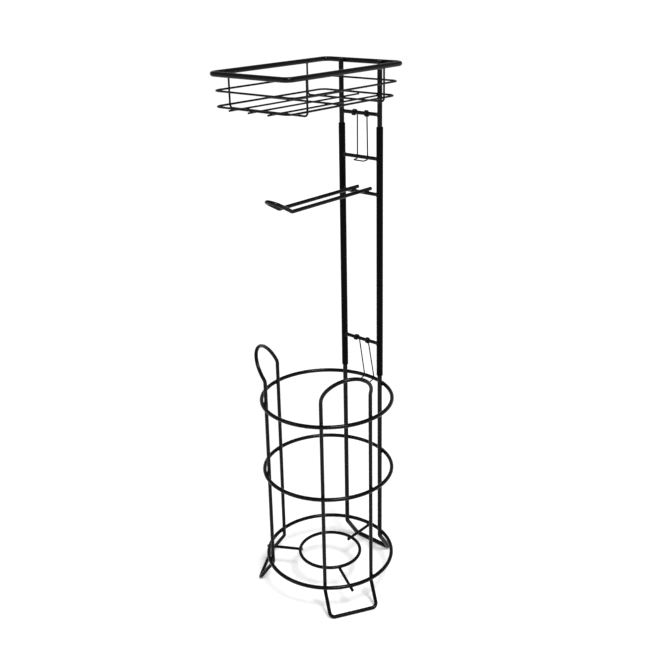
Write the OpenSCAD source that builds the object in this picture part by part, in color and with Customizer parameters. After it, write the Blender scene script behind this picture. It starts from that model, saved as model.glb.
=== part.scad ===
// Freestanding toilet roll holder made of bent, welded steel wire.
// Three sections plug together: a round storage basket on three feet, a post of two tubes
// with a roll arm, and a wire tray on two risers. A swinging wire latch locks each joint.
// The basket's axis is the Z axis, the floor is at zero, the front is at -Y and the post at +Y.

/* [Basket rings] */
// Radius of the basket's rings, to the middle of the wire
ring_radius = 80; // [72:1:95]
// Thickness of the ring wire
ring_wire = 4.8; // [3.6:0.1:5.5]
// Height of the bottom ring, at the middle of its wire
bottom_ring_height = 36; // [32:1:60]
// Height of the middle ring
middle_ring_height = 161; // [110:1:200]
// Height of the top ring
top_ring_height = 257; // [220:1:300]
// Radius of the small ring in the middle of the basket's floor
support_radius = 39; // [30:1:50]
// Thickness of the small ring's wire
support_wire = 4.2; // [3:0.1:5]
// Thickness of the three spokes under the rings
spoke_wire = 3.8; // [3:0.1:4.5]
// How far each spoke's end stands out past the ring that it is welded to
spoke_stub = 2; // [0.5:0.5:4]

/* [Leg loops] */
// Thickness of the two leg loops' wire
loop_wire = 4.6; // [3.5:0.1:5.5]
// Width of a leg loop, between the middles of its two uprights
loop_width = 60.8; // [44:0.2:72]
// Height of the outward bend of a loop above the top ring
loop_bend_lift = 30; // [20:1:45]
// Angle that a loop's top leans outward
loop_lean = 28; // [15:1:40]
// Radius of the outward bend
loop_bend_radius = 12; // [8:1:18]
// Straight wire between the outward bend and the arch
loop_straight = 0.5; // [0.5:0.5:15]
// Distance from the bottom ring down to where the loops' feet turn outward
foot_bend_drop = 6.5; // [5:0.5:9]
// Distance from the basket's axis to the bar of a loop's foot
foot_reach = 88.5; // [84:0.5:100]
// Radius of the bends of all feet
foot_bend_radius = 6; // [4:0.5:9]

/* [Rear leg frame and post] */
// Distance between the two posts, to the middles
post_spacing = 56.6; // [48:0.2:72]
// Thickness of the wire of the rear leg frame and the risers
post_wire = 5.8; // [4:0.1:6.5]
// Distance from the bottom ring down to where the rear foot turns outward
rear_bend_drop = 2.5; // [2.5:0.5:9]
// Distance from the basket's axis to the bar of the rear foot
rear_foot_reach = 90.5; // [84:0.5:100]
// Wall of the tubes
tube_wall = 1; // [0.8:0.1:1.5]
// Length of the tubes
tube_length = 310; // [260:5:400]
// Height of the tubes' lower ends above the top ring
tube_lift = 13; // [8:1:20]
// Depth that a wire plugs into a tube
socket_depth = 45; // [30:1:60]
// Clearance between a plugged wire and the tube's bore, on the radius
slip_clearance = 0.1; // [0.05:0.01:0.1]
// Length of the pressed stop inside each socket
stop_length = 3; // [2:0.5:6]
// How far the pressed stop narrows the bore, on the radius
stop_step = 0.7; // [0.4:0.1:1.2]
// Thickness of all crossbars
crossbar_wire = 4.4; // [3:0.1:5]
// Height of the lower crossbar above the tubes' lower ends
lower_crossbar_lift = 42; // [30:1:60]
// Distance of the upper crossbar below the tubes' upper ends
upper_crossbar_drop = 37; // [28:1:50]
// Height of the risers' crossbar above the tubes' upper ends
riser_crossbar_lift = 14; // [8:1:20]

/* [Roll arm] */
// Thickness of the roll arm's wire
arm_wire = 4.4; // [3.2:0.1:5]
// Distance between the arm's two legs, to the middles
arm_spacing = 19.6; // [14:0.2:26]
// Distance of the arm below the tubes' upper ends
arm_drop = 75; // [60:1:120]
// Distance from the posts forward to where the tip turns up
arm_length = 130; // [110:1:145]
// Angle of the turned-up tip
tip_angle = 29.5; // [15:0.5:45]
// Length of the turned-up tip
tip_length = 28; // [20:0.5:40]
// How far the arm's legs run on behind their crossbar
arm_stub = 4; // [2:0.5:6]

/* [Tray] */
// Thickness of the rim wire
rim_wire = 5.6; // [4.5:0.1:6]
// Width of the rim, between the middles of its sides
tray_width = 112; // [90:1:140]
// Distance from the basket's axis forward to the rim's front
tray_reach = 109.5; // [90:0.5:130]
// Height of the rim above the tubes' upper ends
rim_lift = 72; // [62:1:90]
// Corner radius of the rim and of the two wires below it
tray_corner_radius = 8; // [6:0.5:12]
// Thickness of the middle wire
middle_wire = 2.2; // [1.8:0.1:3]
// Depth of the middle wire below the rim
middle_wire_drop = 18; // [12:0.5:22]
// How far the middle wire's front stands back from the rim's front
middle_wire_inset = 5.9; // [3:0.1:9]
// Thickness of the bottom wire
bottom_wire = 2.3; // [1.8:0.1:3]
// Depth of the bottom wire below the rim
bottom_wire_drop = 33.9; // [28:0.1:45]
// How far the bottom wire's front stands back from the rim's front
bottom_wire_inset = 3; // [0.5:0.1:6]
// Thickness of the wires along the tray's floor
floor_wire = 2; // [1.5:0.1:2.5]
// Number of wires along the tray's floor
floor_wire_count = 3; // [2:1:5]
// Distance between the wires along the floor
floor_wire_spacing = 28; // [18:0.5:32]
// How far the floor wires stand out past the bottom wire at the front
floor_wire_stub = 2.5; // [0.5:0.5:4]
// Thickness of the two hoops that hang from the rim
hoop_wire = 2.2; // [1.6:0.1:2.6]
// Radius of the hoops' lower corners
hoop_corner_radius = 4; // [4:0.5:6]
// Distance of the front hoop behind the rim's front
front_hoop_inset = 27; // [15:0.5:40]
// Distance of the rear hoop in front of the rim's back
rear_hoop_inset = 33.5; // [15:0.5:45]
// Distance of the cross wire behind the rim's front
cross_wire_inset = 86.5; // [70:0.5:110]

/* [Latches] */
// Thickness of the latches' spring wire
latch_wire = 1.6; // [1.2:0.1:1.8]
// Turns of each coiled eyelet
eyelet_turns = 2; // [2:1:4]
// Clear gap between the turns of an eyelet
eyelet_gap = 0.5; // [0.45:0.05:0.8]
// Distance from the middle of the latch to the inner end of each eyelet
eyelet_place = 7.1; // [5:0.1:8]
// Half the distance between the two legs where they bend into the feet
leg_spread = 7.7; // [6:0.1:9]
// Clearance between an eyelet and its crossbar, on the radius
hinge_clearance = 0.1; // [0.08:0.01:0.1]
// Clear gap between a latch and what it locks onto
latch_gap = 0.4; // [0.35:0.05:1]
// Forward length of the upper latch's feet
upper_foot_length = 7.5; // [7:0.5:12]
// How far the upper latch's feet dip on their way forward
upper_foot_dip = 0.5; // [0:0.1:4]
// Forward length of the lower latch's feet
lower_foot_length = 13; // [9:0.5:16]
// How far the lower latch's feet dip on their way forward
lower_foot_dip = 0.4; // [0:0.1:4]
// Radius of the bends of the latches' wire
latch_bend_radius = 2; // [1.5:0.1:3]

/* [Hidden] */
$fn = 48;

// How much a wire thins in its bends, on the radius, and how far a straight laps over a bend
bend_thinning = 0.02;
bend_lap = 0.1;
// Depth that two crossing wires are set into each other where they are welded
weld_set = 0.08;
// Chamfer at the tubes' ends
tube_chamfer = 0.5;
// How far the risers stand up past the middle of the rim wire behind them
riser_stub = 1.5;
// How far the spokes reach in past the middle of the small ring
spoke_inner_stub = 2;
// Colours of the coated steel and of the bare-looking latch wire
coat = "#161616";
latch_coat = "#242424";
// Directions of the two leg loops and of the rear leg frame, around the basket's axis
left_side = 210;
right_side = 330;
rear_side = 90;

// Posts: they touch the rings from inside, as the loops' uprights do
post_x = post_spacing / 2;
post_radius = ring_radius - ring_wire / 2 - post_wire / 2 + weld_set;
post_y = sqrt(post_radius * post_radius - post_x * post_x);
rear_bend_height = bottom_ring_height - rear_bend_drop;
tube_radius = post_wire / 2 + slip_clearance + tube_wall;
tube_bottom = top_ring_height + tube_lift;
tube_top = tube_bottom + tube_length;
lower_crossbar_height = tube_bottom + lower_crossbar_lift;
upper_crossbar_height = tube_top - upper_crossbar_drop;
riser_crossbar_height = tube_top + riser_crossbar_lift;
arm_height = tube_top - arm_drop;
arm_crossbar_height = arm_height - arm_wire / 2 - crossbar_wire / 2 + weld_set;

// Leg loops
loop_radius = ring_radius - ring_wire / 2 - loop_wire / 2 + weld_set;
loop_x = loop_width / 2;
loop_plane = sqrt(loop_radius * loop_radius - loop_x * loop_x);
loop_bend_height = top_ring_height + loop_bend_lift;
foot_bend_height = bottom_ring_height - foot_bend_drop;
loop_top_length = loop_x + loop_straight + loop_bend_radius * tan(loop_lean / 2);

// Spokes and the small ring on them
spoke_height = bottom_ring_height - ring_wire / 2 - spoke_wire / 2 + weld_set;
support_height = spoke_height + spoke_wire / 2 + support_wire / 2 - weld_set;

// Tray: the rim lies behind the risers, the thin wires in front of them
rim_height = tube_top + rim_lift;
rim_x = tray_width / 2;
rim_front = -tray_reach;
rim_back = post_y + post_wire / 2 + rim_wire / 2 - weld_set;
middle_wire_height = rim_height - middle_wire_drop;
middle_wire_x = rim_x + hoop_wire / 2 + middle_wire / 2 - weld_set;
middle_wire_back = post_y - post_wire / 2 - middle_wire / 2 + weld_set;
bottom_wire_height = rim_height - bottom_wire_drop;
bottom_wire_x = rim_x - hoop_wire / 2 - bottom_wire / 2 + weld_set;
bottom_wire_front = rim_front + bottom_wire_inset;
bottom_wire_back = post_y - post_wire / 2 - bottom_wire / 2 + weld_set;
floor_wire_height = bottom_wire_height - bottom_wire / 2 - floor_wire / 2 + weld_set;
hoop_bottom_height = floor_wire_height - floor_wire / 2 - hoop_wire / 2 + weld_set;
cross_wire_height = floor_wire_height + floor_wire / 2 + hoop_wire / 2 - weld_set;

// Latches: an eyelet's wire runs round its crossbar at this radius and pitch
eyelet_radius = crossbar_wire / 2 + hinge_clearance + latch_wire / 2;
eyelet_pitch = latch_wire + eyelet_gap;
eyelet_steps = 16;
latch_sides = 8;
bend_steps = 4;

// Direction from one point to another, and the angle between two directions
function unit(v) = v / norm(v);
function turn(u, v) = acos(max(-1, min(1, u * v)));

// Bend of a wire that runs up the Z axis, towards +X, as a piece of a torus
module elbow(radius, angle, d) {
    multmatrix([[-1, 0, 0, radius], [0, 0, 1, 0], [0, 1, 0, 0], [0, 0, 0, 1]])
        rotate_extrude(angle = angle) translate([radius, 0]) circle(r = d / 2 - bend_thinning);
}

// Wire of thickness d along a line of corners, with a bend of the given radius at each.
// It is drawn as a bending machine makes it: feed a straight, roll, bend, and go on from there.
module bent_wire(corners, radii, d, closed = false) {
    count = len(corners);
    first = closed ? count - 1 : 0;
    straights = closed ? count : count - 1;
    function corner(k) = corners[(first + k) % count];
    function radius(k) = radii[(first + k) % count];
    function along(k) = unit(corner(k + 1) - corner(k + count));
    function bends(k) = closed || (k > 0 && k < straights);
    function angle(k) = turn(along(k - 1), along(k));
    function trim(k) = bends(k) ? radius(k) * tan(angle(k) / 2) : 0;
    function feed(k) = norm(corner(k + 1) - corner(k)) - trim(k) - trim(k + 1);
    function inward(k) = unit(along(k) - along(k - 1) * (along(k) * along(k - 1)));
    function carried(k) = inward(k) * cos(angle(k)) - along(k - 1) * sin(angle(k));
    function roll(k) = k < 2 ? 0
        : atan2(cross(carried(k - 1), inward(k)) * along(k - 1), carried(k - 1) * inward(k));
    function lap(k) = bends(k) ? bend_lap : 0;
    module straight(k) {
        translate([0, 0, -lap(k)]) cylinder(d = d, h = feed(k) + lap(k) + lap(k + 1));
        if (bends(k + 1)) translate([0, 0, feed(k)]) rotate(roll(k + 1)) {
            elbow(radius(k + 1), angle(k + 1), d);
            if (k + 1 < straights) translate([radius(k + 1), 0, 0]) rotate([0, angle(k + 1), 0])
                translate([-radius(k + 1), 0, 0]) straight(k + 1);
        }
    }
    start = corner(0) + along(0) * trim(0);
    x = inward(1);
    z = along(0);
    y = cross(z, x);
    multmatrix([[x.x, y.x, z.x, start.x], [x.y, y.y, z.y, start.y], [x.z, y.z, z.z, start.z],
        [0, 0, 0, 1]]) straight(0);
}

// Closed flat wire frame with rounded corners, between x = -half_width and half_width
module flat_frame(half_width, front, back, height, d) {
    bent_wire([[-half_width, front, height], [half_width, front, height],
        [half_width, back, height], [-half_width, back, height]],
        [for (i = [1 : 4]) tray_corner_radius], d, closed = true);
}

// Closed round ring of wire at a height
module ring(radius, height, d) {
    translate([0, 0, height]) rotate_extrude() translate([radius, 0]) circle(d = d);
}

// Spoke under the basket, from inside the small ring to just past the bottom ring
module spoke(direction) {
    inner = support_radius - spoke_inner_stub;
    outer = ring_radius + ring_wire / 2 + spoke_stub;
    rotate(direction) translate([inner, 0, spoke_height]) rotate([0, 90, 0])
        cylinder(d = spoke_wire, h = outer - inner);
}

// Leg loop: one closed wire with an arched, leaning top and a foot that turns outward
module leg_loop(direction) {
    top_out = loop_top_length * sin(loop_lean);
    top_up = loop_top_length * cos(loop_lean);
    foot_out = foot_reach - loop_plane;
    right_half = [
        [loop_x, top_out, loop_bend_height + top_up],
        [loop_x, 0, loop_bend_height],
        [loop_x, 0, foot_bend_height],
        [loop_x, foot_out, loop_wire / 2]
    ];
    left_half = [for (i = [3 : -1 : 0]) [-right_half[i].x, right_half[i].y, right_half[i].z]];
    half_radii = [loop_x, loop_bend_radius, foot_bend_radius, foot_bend_radius];
    rotate(direction - 90) translate([0, loop_plane, 0])
        bent_wire(concat(right_half, left_half),
            concat(half_radii, [for (i = [3 : -1 : 0]) half_radii[i]]), loop_wire, closed = true);
}

// Crossbar between two round posts of the given radius, its ends cut to fit them
module crossbar(height, post_r) {
    difference() {
        translate([-post_x, post_y, height]) rotate([0, 90, 0])
            cylinder(d = crossbar_wire, h = post_spacing);
        for (side = [-1, 1]) translate([side * post_x, post_y, height - crossbar_wire])
            cylinder(r = post_r, h = 2 * crossbar_wire);
    }
}

// Tube with a socket and a pressed stop inside each end
module tube(side) {
    bore = post_wire / 2 + slip_clearance;
    stop = bore - stop_step;
    half = tube_length / 2;
    upper_half = [
        [bore, 0],
        [bore, half - socket_depth - stop_length],
        [stop, half - socket_depth - stop_length],
        [stop, half - socket_depth],
        [bore, half - socket_depth],
        [bore, half],
        [tube_radius - tube_chamfer, half],
        [tube_radius, half - tube_chamfer]
    ];
    lower_half = [for (i = [7 : -1 : 1]) [upper_half[i].x, -upper_half[i].y]];
    translate([side * post_x, post_y, tube_bottom + half])
        rotate_extrude() polygon(concat(upper_half, lower_half));
}

// Riser: wire from its socket in the tube up to the rim
module riser(side) {
    foot = tube_top - socket_depth;
    translate([side * post_x, post_y, foot])
        cylinder(d = post_wire, h = rim_height + riser_stub - foot);
}

// Hoop across the tray, hung from the rim's two sides, its ends cut to fit the rim wire
module hoop(place) {
    difference() {
        bent_wire([[-rim_x, place, rim_height], [-rim_x, place, hoop_bottom_height],
            [rim_x, place, hoop_bottom_height], [rim_x, place, rim_height]],
            [0, hoop_corner_radius, hoop_corner_radius, 0], hoop_wire);
        for (side = [-1, 1]) translate([side * rim_x, place + hoop_wire, rim_height])
            rotate([90, 0, 0]) cylinder(d = rim_wire, h = 2 * hoop_wire);
    }
}

// Points of an arc that rounds the corner b between a and c
function rounded(a, b, c, radius) =
    let (u = unit(b - a), v = unit(c - b), angle = turn(u, v))
    let (inward = unit(v - u * (u * v)), start = b - u * radius * tan(angle / 2))
    [for (i = [0 : bend_steps]) let (t = angle * i / bend_steps)
        start + u * radius * sin(t) + inward * radius * (1 - cos(t))];

// Half of a latch's path: the eyelet from its free end inward, then the leg and the foot.
// It is drawn with its crossbar on the X axis and its leg straight down.
function half_latch(leg_length, foot_length, foot_dip) =
    let (leg_top = [eyelet_place, eyelet_radius, 0])
    let (leg_end = [leg_spread, eyelet_radius, -leg_length])
    let (foot_end = [leg_spread, eyelet_radius - foot_length, -leg_length - foot_dip])
    let (across = [-leg_spread, foot_end.y, foot_end.z])
    concat(
        [for (i = [eyelet_turns * eyelet_steps : -1 : 0]) let (a = 360 * i / eyelet_steps)
            [eyelet_place + eyelet_pitch * a / 360, eyelet_radius * cos(a), eyelet_radius * sin(a)]],
        rounded(leg_top, leg_end, foot_end, latch_bend_radius),
        rounded(leg_end, foot_end, across, latch_bend_radius)
    );

function latch_path(half) =
    concat(half, [for (i = [len(half) - 1 : -1 : 0]) [-half[i].x, half[i].y, half[i].z]]);

// Tube through the points of a path, as one unbroken solid
module swept_wire(path, d) {
    last = len(path) - 1;
    tangents = [for (i = [0 : last])
        unit(path[min(i + 1, last)] - path[max(i - 1, 0)])];
    first_normal = unit(cross(tangents[0], [0.3, 0.5, 0.8]));
    normals = [for (i = 0, n = first_normal; i <= last; i = i + 1,
        n = i <= last ? unit(n - tangents[i] * (n * tangents[i])) : n) n];
    points = [for (i = [0 : last], k = [0 : latch_sides - 1])
        let (a = 360 * k / latch_sides, side = cross(tangents[i], normals[i]))
        path[i] + (normals[i] * cos(a) + side * sin(a)) * d / 2];
    function at(i, k) = i * latch_sides + k % latch_sides;
    walls = [for (i = [0 : last - 1], k = [0 : latch_sides - 1])
        each [[at(i, k), at(i, k + 1), at(i + 1, k + 1)], [at(i, k), at(i + 1, k + 1), at(i + 1, k)]]];
    ends = [for (k = [1 : latch_sides - 2])
        each [[at(0, 0), at(0, k + 1), at(0, k)], [at(last, 0), at(last, k), at(last, k + 1)]]];
    polyhedron(points, concat(walls, ends));
}

// Least clear gap between two stretches of a swept wire that are more than half a turn apart
function least_gap(path, d) =
    min([for (i = [0 : len(path) - 1], j = [i + eyelet_steps / 2 + 2 : 1 : len(path) - 1])
        norm(path[i] - path[j])]) - d;

// Latch that hangs from the crossbar at the height pivot and hooks under a bar of the
// thickness held_wire, whose middle is back behind the pivot and drop below it
module latch(pivot, back, drop, held_wire, foot_length, foot_dip) {
    reach = norm([back, drop]);
    stand_off = held_wire / 2 + latch_wire / 2 + latch_gap;
    lean = atan2(back, drop) - asin((eyelet_radius - stand_off) / reach);
    path = latch_path(half_latch(reach + stand_off, foot_length, foot_dip));
    echo(least_gap = least_gap(path, latch_wire), lean = lean);
    translate([0, post_y, pivot]) rotate([lean, 0, 0]) swept_wire(path, latch_wire);
}

module basket_top_ring() { color(coat) ring(ring_radius, top_ring_height, ring_wire); }
module basket_middle_ring() { color(coat) ring(ring_radius, middle_ring_height, ring_wire); }
module basket_bottom_ring() { color(coat) ring(ring_radius, bottom_ring_height, ring_wire); }
module support_ring() { color(coat) ring(support_radius, support_height, support_wire); }
module left_spoke() { color(coat) spoke(left_side); }
module right_spoke() { color(coat) spoke(right_side); }
module rear_spoke() { color(coat) spoke(rear_side); }
module left_leg_loop() { color(coat) leg_loop(left_side); }
module right_leg_loop() { color(coat) leg_loop(right_side); }

// Two uprights and the rear foot in one wire, its upper ends plugged into the tubes
module rear_leg_frame() {
    top = tube_bottom + socket_depth;
    color(coat) bent_wire([[-post_x, post_y, top], [-post_x, post_y, rear_bend_height],
        [-post_x, rear_foot_reach, post_wire / 2], [post_x, rear_foot_reach, post_wire / 2],
        [post_x, post_y, rear_bend_height], [post_x, post_y, top]],
        [for (i = [1 : 6]) foot_bend_radius], post_wire);
}

module left_tube() { color(coat) tube(-1); }
module right_tube() { color(coat) tube(1); }
module lower_crossbar() { color(coat) crossbar(lower_crossbar_height, tube_radius); }
module upper_crossbar() { color(coat) crossbar(upper_crossbar_height, tube_radius); }
module arm_crossbar() { color(coat) crossbar(arm_crossbar_height, tube_radius); }

// Hairpin of wire that lies on its crossbar, with a turned-up tip
module roll_arm() {
    half = arm_spacing / 2;
    rear = post_y + crossbar_wire / 2 + arm_stub;
    bend = post_y - arm_length;
    tip = [bend - tip_length * cos(tip_angle), arm_height + tip_length * sin(tip_angle)];
    color(coat) bent_wire([[-half, rear, arm_height], [-half, bend, arm_height],
        [-half, tip.x, tip.y], [half, tip.x, tip.y], [half, bend, arm_height],
        [half, rear, arm_height]], [0, arm_wire, half, half, arm_wire, 0], arm_wire);
}

module left_riser() { color(coat) riser(-1); }
module right_riser() { color(coat) riser(1); }
module riser_crossbar() { color(coat) crossbar(riser_crossbar_height, post_wire / 2); }
module tray_rim() { color(coat) flat_frame(rim_x, rim_front, rim_back, rim_height, rim_wire); }

module tray_middle_wire() {
    color(coat) flat_frame(middle_wire_x, rim_front + middle_wire_inset, middle_wire_back,
        middle_wire_height, middle_wire);
}

module tray_bottom_wire() {
    color(coat) flat_frame(bottom_wire_x, bottom_wire_front, bottom_wire_back,
        bottom_wire_height, bottom_wire);
}

module tray_front_hoop() { color(coat) hoop(rim_front + front_hoop_inset); }
module tray_rear_hoop() { color(coat) hoop(rim_back - rear_hoop_inset); }

// Wire across the tray on top of its floor wires, butting on the bottom wire's two sides
module tray_cross_wire() {
    half = bottom_wire_x - bottom_wire / 2 + weld_set;
    color(coat) translate([-half, rim_front + cross_wire_inset, cross_wire_height])
        rotate([0, 90, 0]) cylinder(d = hoop_wire, h = 2 * half);
}

// Wires along the tray's floor, welded under the bottom wire and flush with its back
module tray_floor_wires() {
    front = bottom_wire_front - bottom_wire / 2 - floor_wire_stub;
    back = bottom_wire_back + bottom_wire / 2;
    color(coat) for (i = [0 : floor_wire_count - 1])
        translate([(i - (floor_wire_count - 1) / 2) * floor_wire_spacing, back, floor_wire_height])
            rotate([90, 0, 0]) cylinder(d = floor_wire, h = back - front);
}

// The upper latch hooks under the upper crossbar
module upper_latch() {
    color(latch_coat) latch(riser_crossbar_height, 0, riser_crossbar_height - upper_crossbar_height,
        crossbar_wire, upper_foot_length, upper_foot_dip);
}

// The lower latch hooks under the back of the basket's top ring
module lower_latch() {
    back = sqrt(ring_radius * ring_radius - leg_spread * leg_spread) - post_y;
    color(latch_coat) latch(lower_crossbar_height, back, lower_crossbar_height - top_ring_height,
        ring_wire, lower_foot_length, lower_foot_dip);
}

basket_top_ring();
basket_middle_ring();
basket_bottom_ring();
support_ring();
left_spoke();
right_spoke();
rear_spoke();
left_leg_loop();
right_leg_loop();
rear_leg_frame();
left_tube();
right_tube();
lower_crossbar();
upper_crossbar();
arm_crossbar();
roll_arm();
left_riser();
right_riser();
riser_crossbar();
tray_rim();
tray_middle_wire();
tray_bottom_wire();
tray_front_hoop();
tray_rear_hoop();
tray_cross_wire();
tray_floor_wires();
upper_latch();
lower_latch();
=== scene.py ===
"""Looks of the freestanding toilet roll holder: coated wire, coated tube and two spring latches.

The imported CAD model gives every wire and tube. This script gives them their finishes, adds the
weld fillets, the rounded coat on the cut wire ends and the lips of the tubes, winds the two
latches from round wire, and sets up a plain white studio. The holder's sizes are millimetres, the
same values as in the CAD source. Meshes, the studio and the camera are in metres.
"""

import math

import bmesh
import bpy
from mathutils import Matrix, Vector


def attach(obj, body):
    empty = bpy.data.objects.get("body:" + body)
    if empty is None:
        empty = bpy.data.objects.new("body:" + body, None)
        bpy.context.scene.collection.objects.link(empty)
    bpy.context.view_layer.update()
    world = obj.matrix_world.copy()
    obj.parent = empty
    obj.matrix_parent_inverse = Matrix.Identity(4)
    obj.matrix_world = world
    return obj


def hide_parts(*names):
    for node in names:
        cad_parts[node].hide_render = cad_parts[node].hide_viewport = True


MM = 0.001

# Basket
RING_RADIUS, RING_WIRE = 80, 4.8
RING_HEIGHTS = (36, 161, 257)
SUPPORT_RADIUS, SUPPORT_WIRE = 39, 4.2
SPOKE_WIRE, SPOKE_STUB, SPOKE_INNER_STUB = 3.8, 2, 2
LOOP_WIRE, LOOP_HALF = 4.6, 30.4
LOOP_SIDES = (210, 330)
SPOKE_SIDES = (210, 330, 90)
# Depth that two crossing wires are set into each other
WELD_SET = 0.08

# Post and roll arm
POST_HALF, POST_WIRE = 28.3, 5.8
TUBE_RADIUS, TUBE_BORE, TUBE_BOTTOM, TUBE_TOP = 4, 3, 270, 580
CROSSBAR_WIRE = 4.4
LOWER_CROSSBAR, UPPER_CROSSBAR, RISER_CROSSBAR = 312, 543, 594
ARM_WIRE, ARM_HALF, ARM_HEIGHT, ARM_STUB = 4.4, 9.8, 505, 4

# Tray
RIM_WIRE, RIM_HALF, RIM_FRONT, RIM_HEIGHT = 5.6, 56, -109.5, 652
RISER_STUB = 1.5
HOOP_WIRE, FRONT_HOOP_INSET, REAR_HOOP_INSET = 2.2, 27, 33.5
MIDDLE_HEIGHT = 634
BOTTOM_WIRE, BOTTOM_HEIGHT, BOTTOM_INSET = 2.3, 618.1, 3
FLOOR_WIRE, FLOOR_STUB, FLOOR_SPACING = 2, 2.5, 28
CROSS_INSET = 86.5

# Latches
LATCH_WIRE, EYELET_TURNS, EYELET_GAP, EYELET_PLACE = 1.6, 2, 0.5, 7.1
LEG_SPREAD, HINGE_CLEARANCE, LATCH_GAP, LATCH_BEND = 7.7, 0.1, 0.4, 2
UPPER_FOOT, LOWER_FOOT = (7.5, 0.5), (13, 0.4)
EYELET_STEPS, BEND_STEPS, LATCH_SIDES = 40, 10, 16

# How far the trim stands proud of the metal, the depth of a cut end's dome as a share of the
# wire's thickness, and the height of a tube's lip as a share of its width
COAT_LAP, DOME_SHARE, LIP_SHARE = 0.03, 0.14, 0.5
LIP_SIDES, LIP_SECTION_SIDES, DOME_SEGMENTS, DOME_RINGS = 48, 12, 20, 10
# A weld's roundness as a share of the thinner wire, and how deep its skin starts in the wires
CROSSING_FILLET, BUTT_FILLET, SKIN_DEPTH = 0.7, 0.8, 0.04
WELD_VOXELS, WELD_MARGIN = 18, 0.6

# What follows from them
POST_RADIUS = RING_RADIUS - (RING_WIRE + POST_WIRE) / 2 + WELD_SET
POST_Y = math.sqrt(POST_RADIUS**2 - POST_HALF**2)
LOOP_RADIUS = RING_RADIUS - (RING_WIRE + LOOP_WIRE) / 2 + WELD_SET
LOOP_PLANE = math.sqrt(LOOP_RADIUS**2 - LOOP_HALF**2)
SPOKE_HEIGHT = RING_HEIGHTS[0] - (RING_WIRE + SPOKE_WIRE) / 2 + WELD_SET
ARM_CROSSBAR = ARM_HEIGHT - (ARM_WIRE + CROSSBAR_WIRE) / 2 + WELD_SET
RIM_BACK = POST_Y + (POST_WIRE + RIM_WIRE) / 2 - WELD_SET
HOOPS = (RIM_FRONT + FRONT_HOOP_INSET, RIM_BACK - REAR_HOOP_INSET)
BOTTOM_X = RIM_HALF - (HOOP_WIRE + BOTTOM_WIRE) / 2 + WELD_SET
BOTTOM_FRONT = RIM_FRONT + BOTTOM_INSET
BOTTOM_BACK = POST_Y - (POST_WIRE + BOTTOM_WIRE) / 2 + WELD_SET
FLOOR_HEIGHT = BOTTOM_HEIGHT - (BOTTOM_WIRE + FLOOR_WIRE) / 2 + WELD_SET
CROSS_HEIGHT = FLOOR_HEIGHT + (FLOOR_WIRE + HOOP_WIRE) / 2 - WELD_SET
CROSS_PLACE = RIM_FRONT + CROSS_INSET
FLOOR_PLACES = (-FLOOR_SPACING, 0, FLOOR_SPACING)
EYELET_RADIUS = CROSSBAR_WIRE / 2 + HINGE_CLEARANCE + LATCH_WIRE / 2

# The camera stands where the photograph was taken from, turned by these degrees
CAMERA_PLACE = (0.6811, -0.7659, 0.7562)
CAMERA_TURN, CAMERA_TILT, CAMERA_ROLL = 41.79, 20.10, -1.29
PICTURE_WIDTH, FOCAL_PIXELS, SENSOR_MM = 645, 923.3, 36
PRINCIPAL_POINT = (322.5, 302)
CLIP_START, CLIP_END = 0.01, 200

# Strength of the world's light on the object and the floor
STUDIO_LIGHT = 0.35
# Sines of the elevations where the white backdrop ends and where the ceiling begins
BACKDROP_END, CEILING_START = 0.1, 0.3
FLOOR_HALF, FLOOR_COLOUR = 30, "#f4f4f4"
# The floor is lifted to white more where it lies far from the object and is lit less
LIFT_NEAR, LIFT_FAR, NEAR_LIFT, FAR_LIFT = 0.3, 2.6, 0.3, 0.7
# Half the object's height, which the softboxes face
LAMP_TARGET_HEIGHT = 0.33

# A noise texture's values mostly lie between these
NOISE_LOW, NOISE_HIGH = 0.3, 0.7

X, Y, Z = Vector((1, 0, 0)), Vector((0, 1, 0)), Vector((0, 0, 1))


def linear(hex_colour):
    """Linear colour with alpha from an sRGB hex string such as #1a1a1a."""
    parts = [int(hex_colour[i : i + 2], 16) / 255 for i in (1, 3, 5)]
    return [p / 12.92 if p <= 0.04045 else ((p + 0.055) / 1.055) ** 2.4 for p in parts] + [1]


def add_node(tree, kind, inputs=None, **settings):
    """Adds a node, sets its properties, and sets or links its inputs by name or number."""
    node = tree.nodes.new(kind)
    for name, value in settings.items():
        setattr(node, name, value)
    for key, value in (inputs or {}).items():
        if isinstance(value, bpy.types.NodeSocket):
            tree.links.new(value, node.inputs[key])
        else:
            node.inputs[key].default_value = value
    return node


def put_in_scene(thing):
    bpy.context.scene.collection.objects.link(thing)
    return thing


# Finishes


def new_material(name):
    material = bpy.data.materials.new(name)
    material.use_nodes = True
    tree = material.node_tree
    tree.nodes.clear()
    return material, tree, tree.nodes.new("ShaderNodeOutputMaterial")


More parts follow.
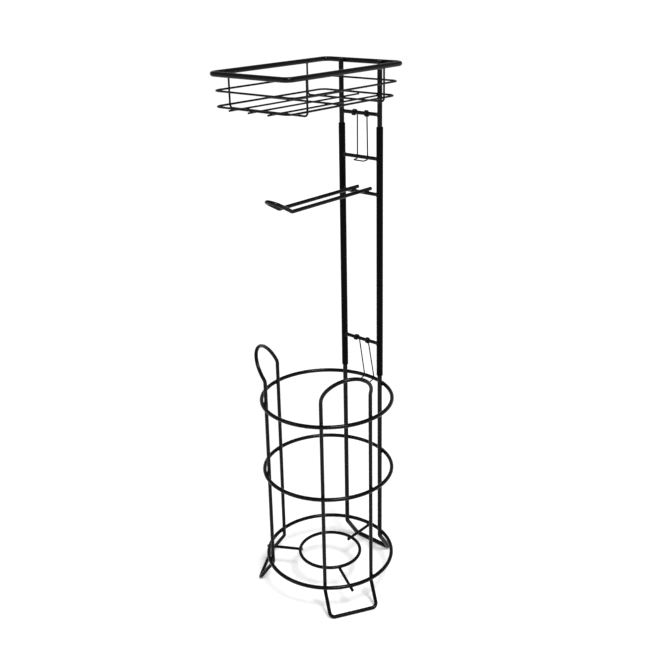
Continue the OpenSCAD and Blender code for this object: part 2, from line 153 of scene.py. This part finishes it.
def coat_finish(name, dark, light, rough, pool_mm, peel_mm, peel_depth_mm, specular):
    """Black coat whose colour and gloss vary a little with its thickness, with a pebbled skin."""
    material, tree, output = new_material(name)
    place = add_node(tree, "ShaderNodeTexCoord").outputs["Object"]
    pooling = add_node(
        tree, "ShaderNodeTexNoise",
        {"Vector": place, "Scale": 1 / (pool_mm * MM), "Detail": 3, "Roughness": 0.6},
    ).outputs["Fac"]
    peel = add_node(
        tree, "ShaderNodeTexNoise", {"Vector": place, "Scale": 1 / (peel_mm * MM), "Detail": 2}
    ).outputs["Fac"]
    shade = add_node(
        tree, "ShaderNodeMapRange",
        {"Value": pooling, "From Min": NOISE_LOW, "From Max": NOISE_HIGH},
    ).outputs[0]
    colour = add_node(
        tree, "ShaderNodeMix", {"Factor": shade, 6: linear(dark), 7: linear(light)},
        data_type="RGBA",
    ).outputs[2]
    gloss = add_node(
        tree, "ShaderNodeMapRange",
        {"Value": pooling, "From Min": NOISE_LOW, "From Max": NOISE_HIGH,
         "To Min": rough[0], "To Max": rough[1]},
    ).outputs[0]
    skin = add_node(
        tree, "ShaderNodeBump", {"Height": peel, "Distance": peel_depth_mm * MM, "Strength": 1}
    ).outputs[0]
    shader = add_node(
        tree, "ShaderNodeBsdfPrincipled",
        {"Base Color": colour, "Roughness": gloss, "Normal": skin, "IOR": 1.5,
         "Specular IOR Level": specular},
    )
    tree.links.new(shader.outputs[0], output.inputs["Surface"])
    return material


# Places of the welds, the cut ends and the lips. A place is a point, the direction "along" the
# first wire there, and the direction "out" of it, to the second wire or out of the end.


def around(angle):
    """Outward direction at an angle round the basket's axis."""
    return Vector((math.cos(math.radians(angle)), math.sin(math.radians(angle)), 0))


def crossing_welds():
    """Crossing wires: both thicknesses, how far the bead reaches, and the contact points."""
    sink = WELD_SET / 2
    loops, posts, spokes, supports = [], [], [], []
    for side in LOOP_SIDES:
        out, across = around(side), around(side + 90)
        for hand in (-1, 1):
            foot = out * LOOP_PLANE + across * hand * LOOP_HALF
            normal = foot.normalized()
            for height in RING_HEIGHTS:
                loops.append((foot + normal * (LOOP_WIRE / 2 - sink) + Z * height, Z, normal))
    for hand in (-1, 1):
        foot = Vector((hand * POST_HALF, POST_Y, 0))
        normal = foot.normalized()
        for height in RING_HEIGHTS:
            posts.append((foot + normal * (POST_WIRE / 2 - sink) + Z * height, Z, normal))
    top = SPOKE_HEIGHT + SPOKE_WIRE / 2 - sink
    for side in SPOKE_SIDES:
        spokes.append((around(side) * RING_RADIUS + Z * top, around(side), Z))
        supports.append((around(side) * SUPPORT_RADIUS + Z * top, around(side), Z))
    rims, thin_risers = [], []
    for hand in (-1, 1):
        back = POST_Y + POST_WIRE / 2 - sink
        rims.append((Vector((hand * POST_HALF, back, RIM_HEIGHT)), Z, Y))
        front = POST_Y - POST_WIRE / 2 + sink
        for height in (MIDDLE_HEIGHT, BOTTOM_HEIGHT):
            thin_risers.append((Vector((hand * POST_HALF, front, height)), Z, -Y))
    hoops, floor = [], []
    for place in HOOPS:
        for hand in (-1, 1):
            outside = RIM_HALF + HOOP_WIRE / 2 - sink
            inside = RIM_HALF - HOOP_WIRE / 2 + sink
            hoops.append((Vector((hand * outside, place, MIDDLE_HEIGHT)), Z, X * hand))
            hoops.append((Vector((hand * inside, place, BOTTOM_HEIGHT)), Z, -X * hand))
    over = FLOOR_HEIGHT + FLOOR_WIRE / 2 - sink
    under = FLOOR_HEIGHT - FLOOR_WIRE / 2 + sink
    for x in FLOOR_PLACES:
        for place in (BOTTOM_FRONT, BOTTOM_BACK, CROSS_PLACE):
            floor.append((Vector((x, place, over)), Y, Z))
        for place in HOOPS:
            floor.append((Vector((x, place, under)), Y, -Z))
    arms = [
        (Vector((hand * ARM_HALF, POST_Y, ARM_HEIGHT - ARM_WIRE / 2 + sink)), Y, -Z)
        for hand in (-1, 1)
    ]
    return [
        (LOOP_WIRE, RING_WIRE, 2.9, loops),
        (POST_WIRE, RING_WIRE, 3.1, posts),
        (SPOKE_WIRE, RING_WIRE, 2.5, spokes),
        (SPOKE_WIRE, SUPPORT_WIRE, 2.4, supports),
        # The risers end just above these welds, so their beads stay small
        (POST_WIRE, RIM_WIRE, 1.6, rims),
        (POST_WIRE, BOTTOM_WIRE, 1.6, thin_risers),
        (HOOP_WIRE, BOTTOM_WIRE, 1.5, hoops),
        (FLOOR_WIRE, HOOP_WIRE, 1.4, floor),
        (ARM_WIRE, CROSSBAR_WIRE, 2.7, arms),
    ]


def butt_welds():
    """A wire's end on another's side: both thicknesses, the bead's reach, and the points."""
    tubes, risers, sides, hangers = [], [], [], []
    for hand in (-1, 1):
        for height in (LOWER_CROSSBAR, UPPER_CROSSBAR, ARM_CROSSBAR):
            tube = POST_HALF - TUBE_RADIUS
            tubes.append((Vector((hand * tube, POST_Y, height)), Z, -X * hand))
        riser = POST_HALF - POST_WIRE / 2
        risers.append((Vector((hand * riser, POST_Y, RISER_CROSSBAR)), Z, -X * hand))
        side = BOTTOM_X - BOTTOM_WIRE / 2
        sides.append((Vector((hand * side, CROSS_PLACE, CROSS_HEIGHT)), Y, -X * hand))
        for place in HOOPS:
            under = RIM_HEIGHT - RIM_WIRE / 2
            hangers.append((Vector((hand * RIM_HALF, place, under)), Y, -Z))
    return [
        (2 * TUBE_RADIUS, CROSSBAR_WIRE, 3.7, tubes),
        (POST_WIRE, CROSSBAR_WIRE, 3.5, risers),
        (BOTTOM_WIRE, HOOP_WIRE, 1.8, sides),
        (RIM_WIRE, HOOP_WIRE, 1.9, hangers),
    ]


def wire_ends():
    """Cut ends of the wires: thickness, then points with the direction that each end faces."""
    spokes, floor = [], []
    for side in SPOKE_SIDES:
        inner = SUPPORT_RADIUS - SPOKE_INNER_STUB
        outer = RING_RADIUS + RING_WIRE / 2 + SPOKE_STUB
        spokes.append((around(side) * inner + Z * SPOKE_HEIGHT, Z, -around(side)))
        spokes.append((around(side) * outer + Z * SPOKE_HEIGHT, Z, around(side)))
    front = BOTTOM_FRONT - BOTTOM_WIRE / 2 - FLOOR_STUB
    for x in FLOOR_PLACES:
        floor.append((Vector((x, front, FLOOR_HEIGHT)), Z, -Y))
    risers = [(Vector((s * POST_HALF, POST_Y, RIM_HEIGHT + RISER_STUB)), X, Z) for s in (-1, 1)]
    rear = POST_Y + CROSSBAR_WIRE / 2 + ARM_STUB
    arms = [(Vector((s * ARM_HALF, rear, ARM_HEIGHT)), Z, Y) for s in (-1, 1)]
    return [(SPOKE_WIRE, spokes), (FLOOR_WIRE, floor), (POST_WIRE, risers), (ARM_WIRE, arms)]


def tube_ends():
    """Both ends of both tubes, with the direction that each end faces."""
    return [
        (Vector((hand * POST_HALF, POST_Y, height)), X, out)
        for hand in (-1, 1)
        for height, out in ((TUBE_BOTTOM, -Z), (TUBE_TOP, Z))
    ]


# Geometry nodes


def new_tree(name, inputs):
    """Empty geometry tree with named inputs, their defaults and a coat; returns its ends too."""
    kinds = {float: "NodeSocketFloat", int: "NodeSocketInt", Vector: "NodeSocketVector"}
    tree = bpy.data.node_groups.new(name, "GeometryNodeTree")
    tree.interface.new_socket("Geometry", in_out="INPUT", socket_type="NodeSocketGeometry")
    for label, value in inputs.items():
        socket = tree.interface.new_socket(label, in_out="INPUT", socket_type=kinds[type(value)])
        socket.default_value = value
    tree.interface.new_socket("Coat", in_out="INPUT", socket_type="NodeSocketMaterial")
    tree.interface.new_socket("Geometry", in_out="OUTPUT", socket_type="NodeSocketGeometry")
    return tree, tree.nodes.new("NodeGroupInput"), tree.nodes.new("NodeGroupOutput")


def on_places(tree, points, shape):
    """Instances of a shape on points, turned by their "along" and "out" attributes, realized."""
    along, out = (
        add_node(tree, "GeometryNodeInputNamedAttribute", {"Name": name}, data_type="FLOAT_VECTOR")
        for name in ("along", "out")
    )
    turned = add_node(
        tree, "FunctionNodeAxesToRotation",
        {"Primary Axis": out.outputs[0], "Secondary Axis": along.outputs[0]},
        primary_axis="Z", secondary_axis="X",
    )
    placed = add_node(
        tree, "GeometryNodeInstanceOnPoints",
        {"Points": points, "Instance": shape, "Rotation": turned.outputs[0],
         "Scale": (MM, MM, MM)},
    )
    return add_node(tree, "GeometryNodeRealizeInstances", {0: placed.outputs[0]}).outputs[0]


def end_tree(tree, output, shape, material):
    smooth = add_node(tree, "GeometryNodeSetShadeSmooth", {"Geometry": shape})
    coated = add_node(
        tree, "GeometryNodeSetMaterial", {"Geometry": smooth.outputs[0], "Material": material}
    )
    tree.links.new(coated.outputs[0], output.inputs[0])
    return tree


def weld_tree():
    """Fused metal where two round wires meet: both wires blended, kept to a ball at the weld.

    The shape is drawn in millimetres at the contact point. The first wire runs along X below it,
    and the second lies above it along "Second Wire", a direction.
    """
    tree, source, output = new_tree(
        "weld_fillet",
        {"First Radius": 2.4, "First Depth": 2.4, "Second Radius": 2.4, "Second Height": 2.4,
         "Second Wire": Vector((0, 1, 0)), "Skin Depth": 0.1, "Fillet": 3.0, "Reach": 2.9,
         "Voxels": WELD_VOXELS},
    )
    value = source.outputs
    place = add_node(tree, "GeometryNodeInputPosition").outputs[0]

    def maths(kind, a, b, c=None):
        inputs = {0: a, 1: b} if c is None else {0: a, 1: b, 2: c}
        return add_node(tree, "ShaderNodeMath", inputs, operation=kind).outputs[0]

    def vector_maths(kind, a, b=(0, 0, 0)):
        return add_node(tree, "ShaderNodeVectorMath", {0: a, 1: b}, operation=kind).outputs

    def from_wire(height, direction, radius):
        axis = add_node(tree, "ShaderNodeCombineXYZ", {"Z": height}).outputs[0]
        away = vector_maths("SUBTRACT", place, axis)["Vector"]
        crossed = vector_maths("CROSS_PRODUCT", away, direction)["Vector"]
        distance = vector_maths("LENGTH", crossed)["Value"]
        return maths("SUBTRACT", distance, maths("SUBTRACT", radius, value["Skin Depth"]))

    first = from_wire(
        maths("MULTIPLY", value["First Depth"], -1.0), (1, 0, 0), value["First Radius"]
    )
    second = from_wire(value["Second Height"], value["Second Wire"], value["Second Radius"])
    fused = maths("SMOOTH_MIN", first, second, value["Fillet"])
    ball = maths("SUBTRACT", vector_maths("LENGTH", place)["Value"], value["Reach"])
    inside = maths("SUBTRACT", 1.0, maths("MAXIMUM", fused, ball))
    corner = maths("ADD", value["Reach"], WELD_MARGIN)
    low = add_node(
        tree, "ShaderNodeVectorMath", {0: (-1, -1, -1), 3: corner}, operation="SCALE"
    ).outputs[0]
    high = add_node(
        tree, "ShaderNodeVectorMath", {0: (1, 1, 1), 3: corner}, operation="SCALE"
    ).outputs[0]
    cube = add_node(
        tree, "GeometryNodeVolumeCube",
        {"Density": inside, "Background": 0.0, "Min": low, "Max": high,
         "Resolution X": value["Voxels"], "Resolution Y": value["Voxels"],
         "Resolution Z": value["Voxels"]},
    )
    skin = add_node(
        tree, "GeometryNodeVolumeToMesh",
        {"Volume": cube.outputs[0], "Threshold": 1.0, "Adaptivity": 0.02},
    )
    shape = on_places(tree, value["Geometry"], skin.outputs[0])
    return end_tree(tree, output, shape, value["Coat"])


def end_cap_tree():
    """Coat drawn to a low dome over a wire's cut end."""
    tree, source, output = new_tree("rounded_wire_end", {"Radius": 2.0, "Dome Height": 0.6})
    value = source.outputs
    ball = add_node(
        tree, "GeometryNodeMeshUVSphere",
        {"Segments": DOME_SEGMENTS, "Rings": DOME_RINGS, "Radius": 1.0},
    )
    size = add_node(
        tree, "ShaderNodeCombineXYZ",
        {"X": value["Radius"], "Y": value["Radius"], "Z": value["Dome Height"]},
    )
    dome = add_node(
        tree, "GeometryNodeTransform", {"Geometry": ball.outputs[0], "Scale": size.outputs[0]}
    )
    shape = on_places(tree, value["Geometry"], dome.outputs[0])
    return end_tree(tree, output, shape, value["Coat"])


def lip_tree():
    """Coat drawn round the edge of a tube's open end, a flattened ring."""
    tree, source, output = new_tree(
        "rounded_tube_lip", {"Middle Radius": 3.5, "Half Width": 0.52, "Flatness": LIP_SHARE}
    )
    value = source.outputs
    edge = add_node(
        tree, "GeometryNodeCurvePrimitiveCircle",
        {"Resolution": LIP_SIDES, "Radius": value["Middle Radius"]},
    )
    section = add_node(
        tree, "GeometryNodeCurvePrimitiveCircle",
        {"Resolution": LIP_SECTION_SIDES, "Radius": value["Half Width"]},
    )
    ring = add_node(
        tree, "GeometryNodeCurveToMesh",
        {"Curve": edge.outputs[0], "Profile Curve": section.outputs[0]},
    )
    size = add_node(tree, "ShaderNodeCombineXYZ", {"X": 1.0, "Y": 1.0, "Z": value["Flatness"]})
    lip = add_node(
        tree, "GeometryNodeTransform", {"Geometry": ring.outputs[0], "Scale": size.outputs[0]}
    )
    shape = on_places(tree, value["Geometry"], lip.outputs[0])
    return end_tree(tree, output, shape, value["Coat"])


def latch_tree():
    """Round wire swept along a line of points, with closed ends."""
    tree, source, output = new_tree(
        "wound_latch", {"Wire Radius": LATCH_WIRE / 2 * MM, "Sides": LATCH_SIDES}
    )
    value = source.outputs
    line = add_node(tree, "GeometryNodeMeshToCurve", {0: value["Geometry"]})
    section = add_node(
        tree, "GeometryNodeCurvePrimitiveCircle",
        {"Resolution": value["Sides"], "Radius": value["Wire Radius"]},
    )
    wire = add_node(
        tree, "GeometryNodeCurveToMesh",
        {"Curve": line.outputs[0], "Profile Curve": section.outputs[0], "Fill Caps": True},
    )
    whole = add_node(tree, "GeometryNodeRealizeInstances", {0: wire.outputs[0]})
    return end_tree(tree, output, whole.outputs[0], value["Coat"])


def grow(name, mesh, tree, inputs):
    """Runs a tree on a mesh and returns the plain mesh that it makes."""
    thing = put_in_scene(bpy.data.objects.new(name, mesh))
    modifier = thing.modifiers.new("shape", "NODES")
    modifier.node_group = tree
    for socket in tree.interface.items_tree:
        if socket.in_out == "INPUT" and socket.name in inputs:
            modifier[socket.identifier] = inputs[socket.name]
    graph = bpy.context.evaluated_depsgraph_get()
    made = bpy.data.meshes.new_from_object(thing.evaluated_get(graph))
    bpy.data.objects.remove(thing)
    return made


def points_mesh(places):
    """Loose points in metres that carry the directions of what goes on them."""
    mesh = bpy.data.meshes.new("places")
    mesh.from_pydata([point * MM for point, _, _ in places], [], [])
    for name, index in (("along", 1), ("out", 2)):
        attribute = mesh.attributes.new(name, "FLOAT_VECTOR", "POINT")
        for item, place in zip(attribute.data, places):
            item.vector = place[index]
    return mesh


def joined(name, meshes, material):
    """One object from several meshes, closed and facing outwards."""
    whole = bmesh.new()
    for mesh in meshes:
        whole.from_mesh(mesh)
        bpy.data.meshes.remove(mesh)
    bmesh.ops.recalc_face_normals(whole, faces=whole.faces)
    mesh = bpy.data.meshes.new(name)
    whole.to_mesh(mesh)
    whole.free()
    mesh.materials.clear()
    mesh.materials.append(material)
    for face in mesh.polygons:
        face.material_index = 0
        face.use_smooth = True
    return put_in_scene(bpy.data.objects.new(name, mesh))


def make_welds(coat):
    tree = weld_tree()
    meshes = []
    for crossing, welds in ((True, crossing_welds()), (False, butt_welds())):
        for first, second, reach, places in welds:
            thin = min(first, second)
            sizes = {
                "First Radius": first / 2,
                "First Depth": first / 2 - (WELD_SET / 2 if crossing else 0),
                "Second Radius": second / 2,
                "Second Height": second / 2 - WELD_SET / 2 if crossing else 0.0,
                "Second Wire": (0, 1, 0) if crossing else (0, 0, 1),
                "Skin Depth": SKIN_DEPTH * math.sqrt(thin),
                "Fillet": (CROSSING_FILLET if crossing else BUTT_FILLET) * thin,
                "Reach": reach,
                "Voxels": WELD_VOXELS,
                "Coat": coat,
            }
            meshes.append(grow("weld", points_mesh(places), tree, sizes))
    return joined("weld_fillets", meshes, coat)


def make_wire_ends(coat):
    tree = end_cap_tree()
    meshes = []
    for thickness, places in wire_ends():
        sizes = {
            "Radius": thickness / 2 + COAT_LAP,
            "Dome Height": DOME_SHARE * thickness,
            "Coat": coat,
        }
        meshes.append(grow("end", points_mesh(places), tree, sizes))
    return joined("rounded_wire_ends", meshes, coat)


def make_tube_lips(coat):
    sizes = {
        "Middle Radius": (TUBE_RADIUS + TUBE_BORE) / 2,
        "Half Width": (TUBE_RADIUS - TUBE_BORE) / 2 + COAT_LAP,
        "Flatness": LIP_SHARE,
        "Coat": coat,
    }
    lips = grow("lip", points_mesh(tube_ends()), lip_tree(), sizes)
    return joined("rounded_tube_lips", [lips], coat)


# Latches


def rounded(a, b, c):
    """Points of an arc that rounds the corner b between a and c."""
    u, v = (b - a).normalized(), (c - b).normalized()
    angle = u.angle(v)
    inward = (v - u * u.dot(v)).normalized()
    start = b - u * LATCH_BEND * math.tan(angle / 2)
    turns = [angle * i / BEND_STEPS for i in range(BEND_STEPS + 1)]
    return [
        start + u * LATCH_BEND * math.sin(t) + inward * LATCH_BEND * (1 - math.cos(t))
        for t in turns
    ]


def latch_line(back, drop, held_wire, foot):
    """Middle line of a latch's wire about its crossbar, and the angle that it hangs at."""
    length, dip = foot
    reach = math.hypot(back, drop)
    stand_off = (held_wire + LATCH_WIRE) / 2 + LATCH_GAP
    lean = math.atan2(back, drop) - math.asin((EYELET_RADIUS - stand_off) / reach)
    leg = reach + stand_off
    pitch = LATCH_WIRE + EYELET_GAP
    steps = EYELET_TURNS * EYELET_STEPS
    half = []
    for i in range(steps, 0, -1):
        turn = 2 * math.pi * i / EYELET_STEPS
        half.append(Vector((
            EYELET_PLACE + pitch * turn / (2 * math.pi),
            EYELET_RADIUS * math.cos(turn), EYELET_RADIUS * math.sin(turn),
        )))
    leg_top = Vector((EYELET_PLACE, EYELET_RADIUS, 0))
    leg_end = Vector((LEG_SPREAD, EYELET_RADIUS, -leg))
    foot_end = Vector((LEG_SPREAD, EYELET_RADIUS - length, -leg - dip))
    across = Vector((-LEG_SPREAD, foot_end.y, foot_end.z))
    half += [leg_top] + rounded(leg_top, leg_end, foot_end) + rounded(leg_end, foot_end, across)
    return half + [Vector((-p.x, p.y, p.z)) for p in reversed(half)], lean


def make_latch(body, pivot, back, drop, held_wire, foot, tree, coat):
    line, lean = latch_line(back, drop, held_wire, foot)
    hang = Matrix.Translation((0, POST_Y, pivot)) @ Matrix.Rotation(lean, 4, "X")
    mesh = bpy.data.meshes.new("line")
    mesh.from_pydata(
        [hang @ p * MM for p in line], [(i, i + 1) for i in range(len(line) - 1)], []
    )
    made = grow("line", mesh, tree, {"Wire Radius": LATCH_WIRE / 2 * MM, "Coat": coat})
    latch = joined(body + "_wire", [made], coat)
    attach(latch, body)
    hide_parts(body)


# Studio


def seen_directly(tree):
    """1 for camera, glossy and transmission rays, and 0 for the light that falls on things."""
    path = add_node(tree, "ShaderNodeLightPath")
    first = add_node(
        tree, "ShaderNodeMath",
        {0: path.outputs["Is Camera Ray"], 1: path.outputs["Is Glossy Ray"]}, operation="MAXIMUM",
    )
    return add_node(
        tree, "ShaderNodeMath",
        {0: first.outputs[0], 1: path.outputs["Is Transmission Ray"]}, operation="MAXIMUM",
    ).outputs[0]


def set_up_world():
    """Backdrop that is white where it is seen, a dim ceiling, and an even light from both."""
    world = bpy.data.worlds.new("studio")
    bpy.context.scene.world = world
    world.use_nodes = True
    tree = world.node_tree
    tree.nodes.clear()
    direction = add_node(tree, "ShaderNodeTexCoord").outputs["Object"]
    height = add_node(tree, "ShaderNodeSeparateXYZ", {0: direction}).outputs["Z"]
    above = add_node(
        tree, "ShaderNodeMapRange",
        {"Value": height, "From Min": BACKDROP_END, "From Max": CEILING_START},
        interpolation_type="SMOOTHSTEP",
    ).outputs[0]
    backdrop = add_node(
        tree, "ShaderNodeMix", {"Factor": seen_directly(tree), "A": STUDIO_LIGHT, "B": 1.0}
    ).outputs[0]
    surroundings = add_node(
        tree, "ShaderNodeMix", {"Factor": above, "A": backdrop, "B": STUDIO_LIGHT}
    ).outputs[0]
    # The camera alone sees white overhead too, for views from low down
    camera = add_node(tree, "ShaderNodeLightPath").outputs["Is Camera Ray"]
    strength = add_node(
        tree, "ShaderNodeMix", {"Factor": camera, "A": surroundings, "B": 1.0}
    ).outputs[0]
    white = add_node(tree, "ShaderNodeBackground", {"Color": (1, 1, 1, 1), "Strength": strength})
    output = tree.nodes.new("ShaderNodeOutputWorld")
    tree.links.new(white.outputs[0], output.inputs["Surface"])


def lay_floor():
    """White card that keeps the object's shadow and is lifted to white where it is seen."""
    material, tree, output = new_material("white_card")
    place = add_node(tree, "ShaderNodeTexCoord").outputs["Object"]
    distance = add_node(
        tree, "ShaderNodeVectorMath", {0: place}, operation="LENGTH"
    ).outputs["Value"]
    strength = add_node(
        tree, "ShaderNodeMapRange",
        {"Value": distance, "From Min": LIFT_NEAR, "From Max": LIFT_FAR,
         "To Min": NEAR_LIFT, "To Max": FAR_LIFT},
        interpolation_type="SMOOTHSTEP",
    ).outputs[0]
    lift = add_node(
        tree, "ShaderNodeMath", {0: seen_directly(tree), 1: strength}, operation="MULTIPLY"
    ).outputs[0]
    card = add_node(tree, "ShaderNodeBsdfDiffuse", {"Color": linear(FLOOR_COLOUR)})
    glow = add_node(tree, "ShaderNodeEmission", {"Color": (1, 1, 1, 1), "Strength": lift})
    both = add_node(tree, "ShaderNodeAddShader", {0: card.outputs[0], 1: glow.outputs[0]})
    tree.links.new(both.outputs[0], output.inputs["Surface"])
    mesh = bpy.data.meshes.new("floor")
    corners = [(x * FLOOR_HALF, y * FLOOR_HALF, 0) for x, y in ((-1, -1), (1, -1), (1, 1), (-1, 1))]
    mesh.from_pydata(corners, [], [(0, 1, 2, 3)])
    mesh.materials.append(material)
    put_in_scene(bpy.data.objects.new("floor", mesh))


def hang_softbox(name, place, width, height, watts):
    """Rectangular lamp that faces the middle of the object."""
    data = bpy.data.lights.new(name, "AREA")
    data.shape = "RECTANGLE"
    data.size, data.size_y = width, height
    data.energy = watts
    place = Vector(place)
    turn = (Z * LAMP_TARGET_HEIGHT - place).to_track_quat("-Z", "Y").to_matrix().to_4x4()
    put_in_scene(bpy.data.objects.new(name, data)).matrix_world = Matrix.Translation(place) @ turn


def place_camera():
    turn, tilt, roll = (math.radians(a) for a in (CAMERA_TURN, CAMERA_TILT, CAMERA_ROLL))
    forward = Vector(
        (-math.sin(turn) * math.cos(tilt), math.cos(turn) * math.cos(tilt), -math.sin(tilt))
    )
    level = Vector((math.cos(turn), math.sin(turn), 0))
    upright = level.cross(forward)
    right = math.cos(roll) * level + math.sin(roll) * upright
    up = math.cos(roll) * upright - math.sin(roll) * level
    data = bpy.data.cameras.new("camera")
    data.sensor_fit = "HORIZONTAL"
    data.sensor_width = SENSOR_MM
    data.lens = FOCAL_PIXELS / PICTURE_WIDTH * SENSOR_MM
    data.shift_x = (PICTURE_WIDTH / 2 - PRINCIPAL_POINT[0]) / PICTURE_WIDTH
    data.shift_y = (PRINCIPAL_POINT[1] - PICTURE_WIDTH / 2) / PICTURE_WIDTH
    data.clip_start, data.clip_end = CLIP_START, CLIP_END
    camera = put_in_scene(bpy.data.objects.new("camera", data))
    rotation = Matrix((right, up, -forward)).transposed().to_4x4()
    camera.matrix_world = Matrix.Translation(CAMERA_PLACE) @ rotation
    bpy.context.scene.camera = camera


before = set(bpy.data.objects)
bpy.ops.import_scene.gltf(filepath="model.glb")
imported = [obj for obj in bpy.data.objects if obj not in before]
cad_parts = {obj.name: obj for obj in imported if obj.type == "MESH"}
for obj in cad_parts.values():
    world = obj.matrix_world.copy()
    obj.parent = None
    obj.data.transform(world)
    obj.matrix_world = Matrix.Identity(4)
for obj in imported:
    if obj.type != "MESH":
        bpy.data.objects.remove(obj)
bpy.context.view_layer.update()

# Epoxy polyester powder coat, sprayed on and baked: deep black, satin, with thin bright lines
# along the wires and a faint orange peel
wire_coat = coat_finish(
    "satin_powder_coat", dark="#040404", light="#090909", rough=(0.16, 0.22),
    pool_mm=14, peel_mm=1.4, peel_depth_mm=0.008, specular=0.12,
)
# The same coat on the drawn tubes, duller, so the post reads as the darkest part
tube_coat = coat_finish(
    "tube_powder_coat", dark="#040404", light="#080808", rough=(0.24, 0.3),
    pool_mm=20, peel_mm=1.8, peel_depth_mm=0.01, specular=0.03,
)
# Thin dip coat on drawn spring wire: a little greyer, so the latches stand off from the post
latch_coat = coat_finish(
    "spring_wire_dip_coat", dark="#070707", light="#0e0e0e", rough=(0.16, 0.22),
    pool_mm=6, peel_mm=0.9, peel_depth_mm=0.006, specular=0.14,
)

for name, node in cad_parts.items():
    finish = tube_coat if name.endswith("tube") else wire_coat
    for material_slot in node.material_slots:
        material_slot.material = latch_coat if name.endswith("latch") else finish

for piece, slot in (
    (make_welds(wire_coat), "coated_wire"),
    (make_wire_ends(wire_coat), "coated_wire"),
    (make_tube_lips(tube_coat), "coated_tube"),
):
    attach(piece, "frame")

latches = latch_tree()
make_latch("upper_latch", RISER_CROSSBAR, 0, RISER_CROSSBAR - UPPER_CROSSBAR, CROSSBAR_WIRE,
           UPPER_FOOT, latches, latch_coat)
make_latch("lower_latch", LOWER_CROSSBAR,
           math.sqrt(RING_RADIUS**2 - LEG_SPREAD**2) - POST_Y, LOWER_CROSSBAR - RING_HEIGHTS[2],
           RING_WIRE, LOWER_FOOT, latches, latch_coat)

place_camera()
set_up_world()
lay_floor()
# The key lamp stands where its mirror image falls on the fronts of the rings
hang_softbox("key_softbox", place=(1.25, -0.55, 2.4), width=0.7, height=0.7, watts=62)
hang_softbox("fill_softbox", place=(-1.1, -2.3, 1.6), width=0.7, height=1.6, watts=8)
bpy.context.scene.view_settings.view_transform = "Standard"
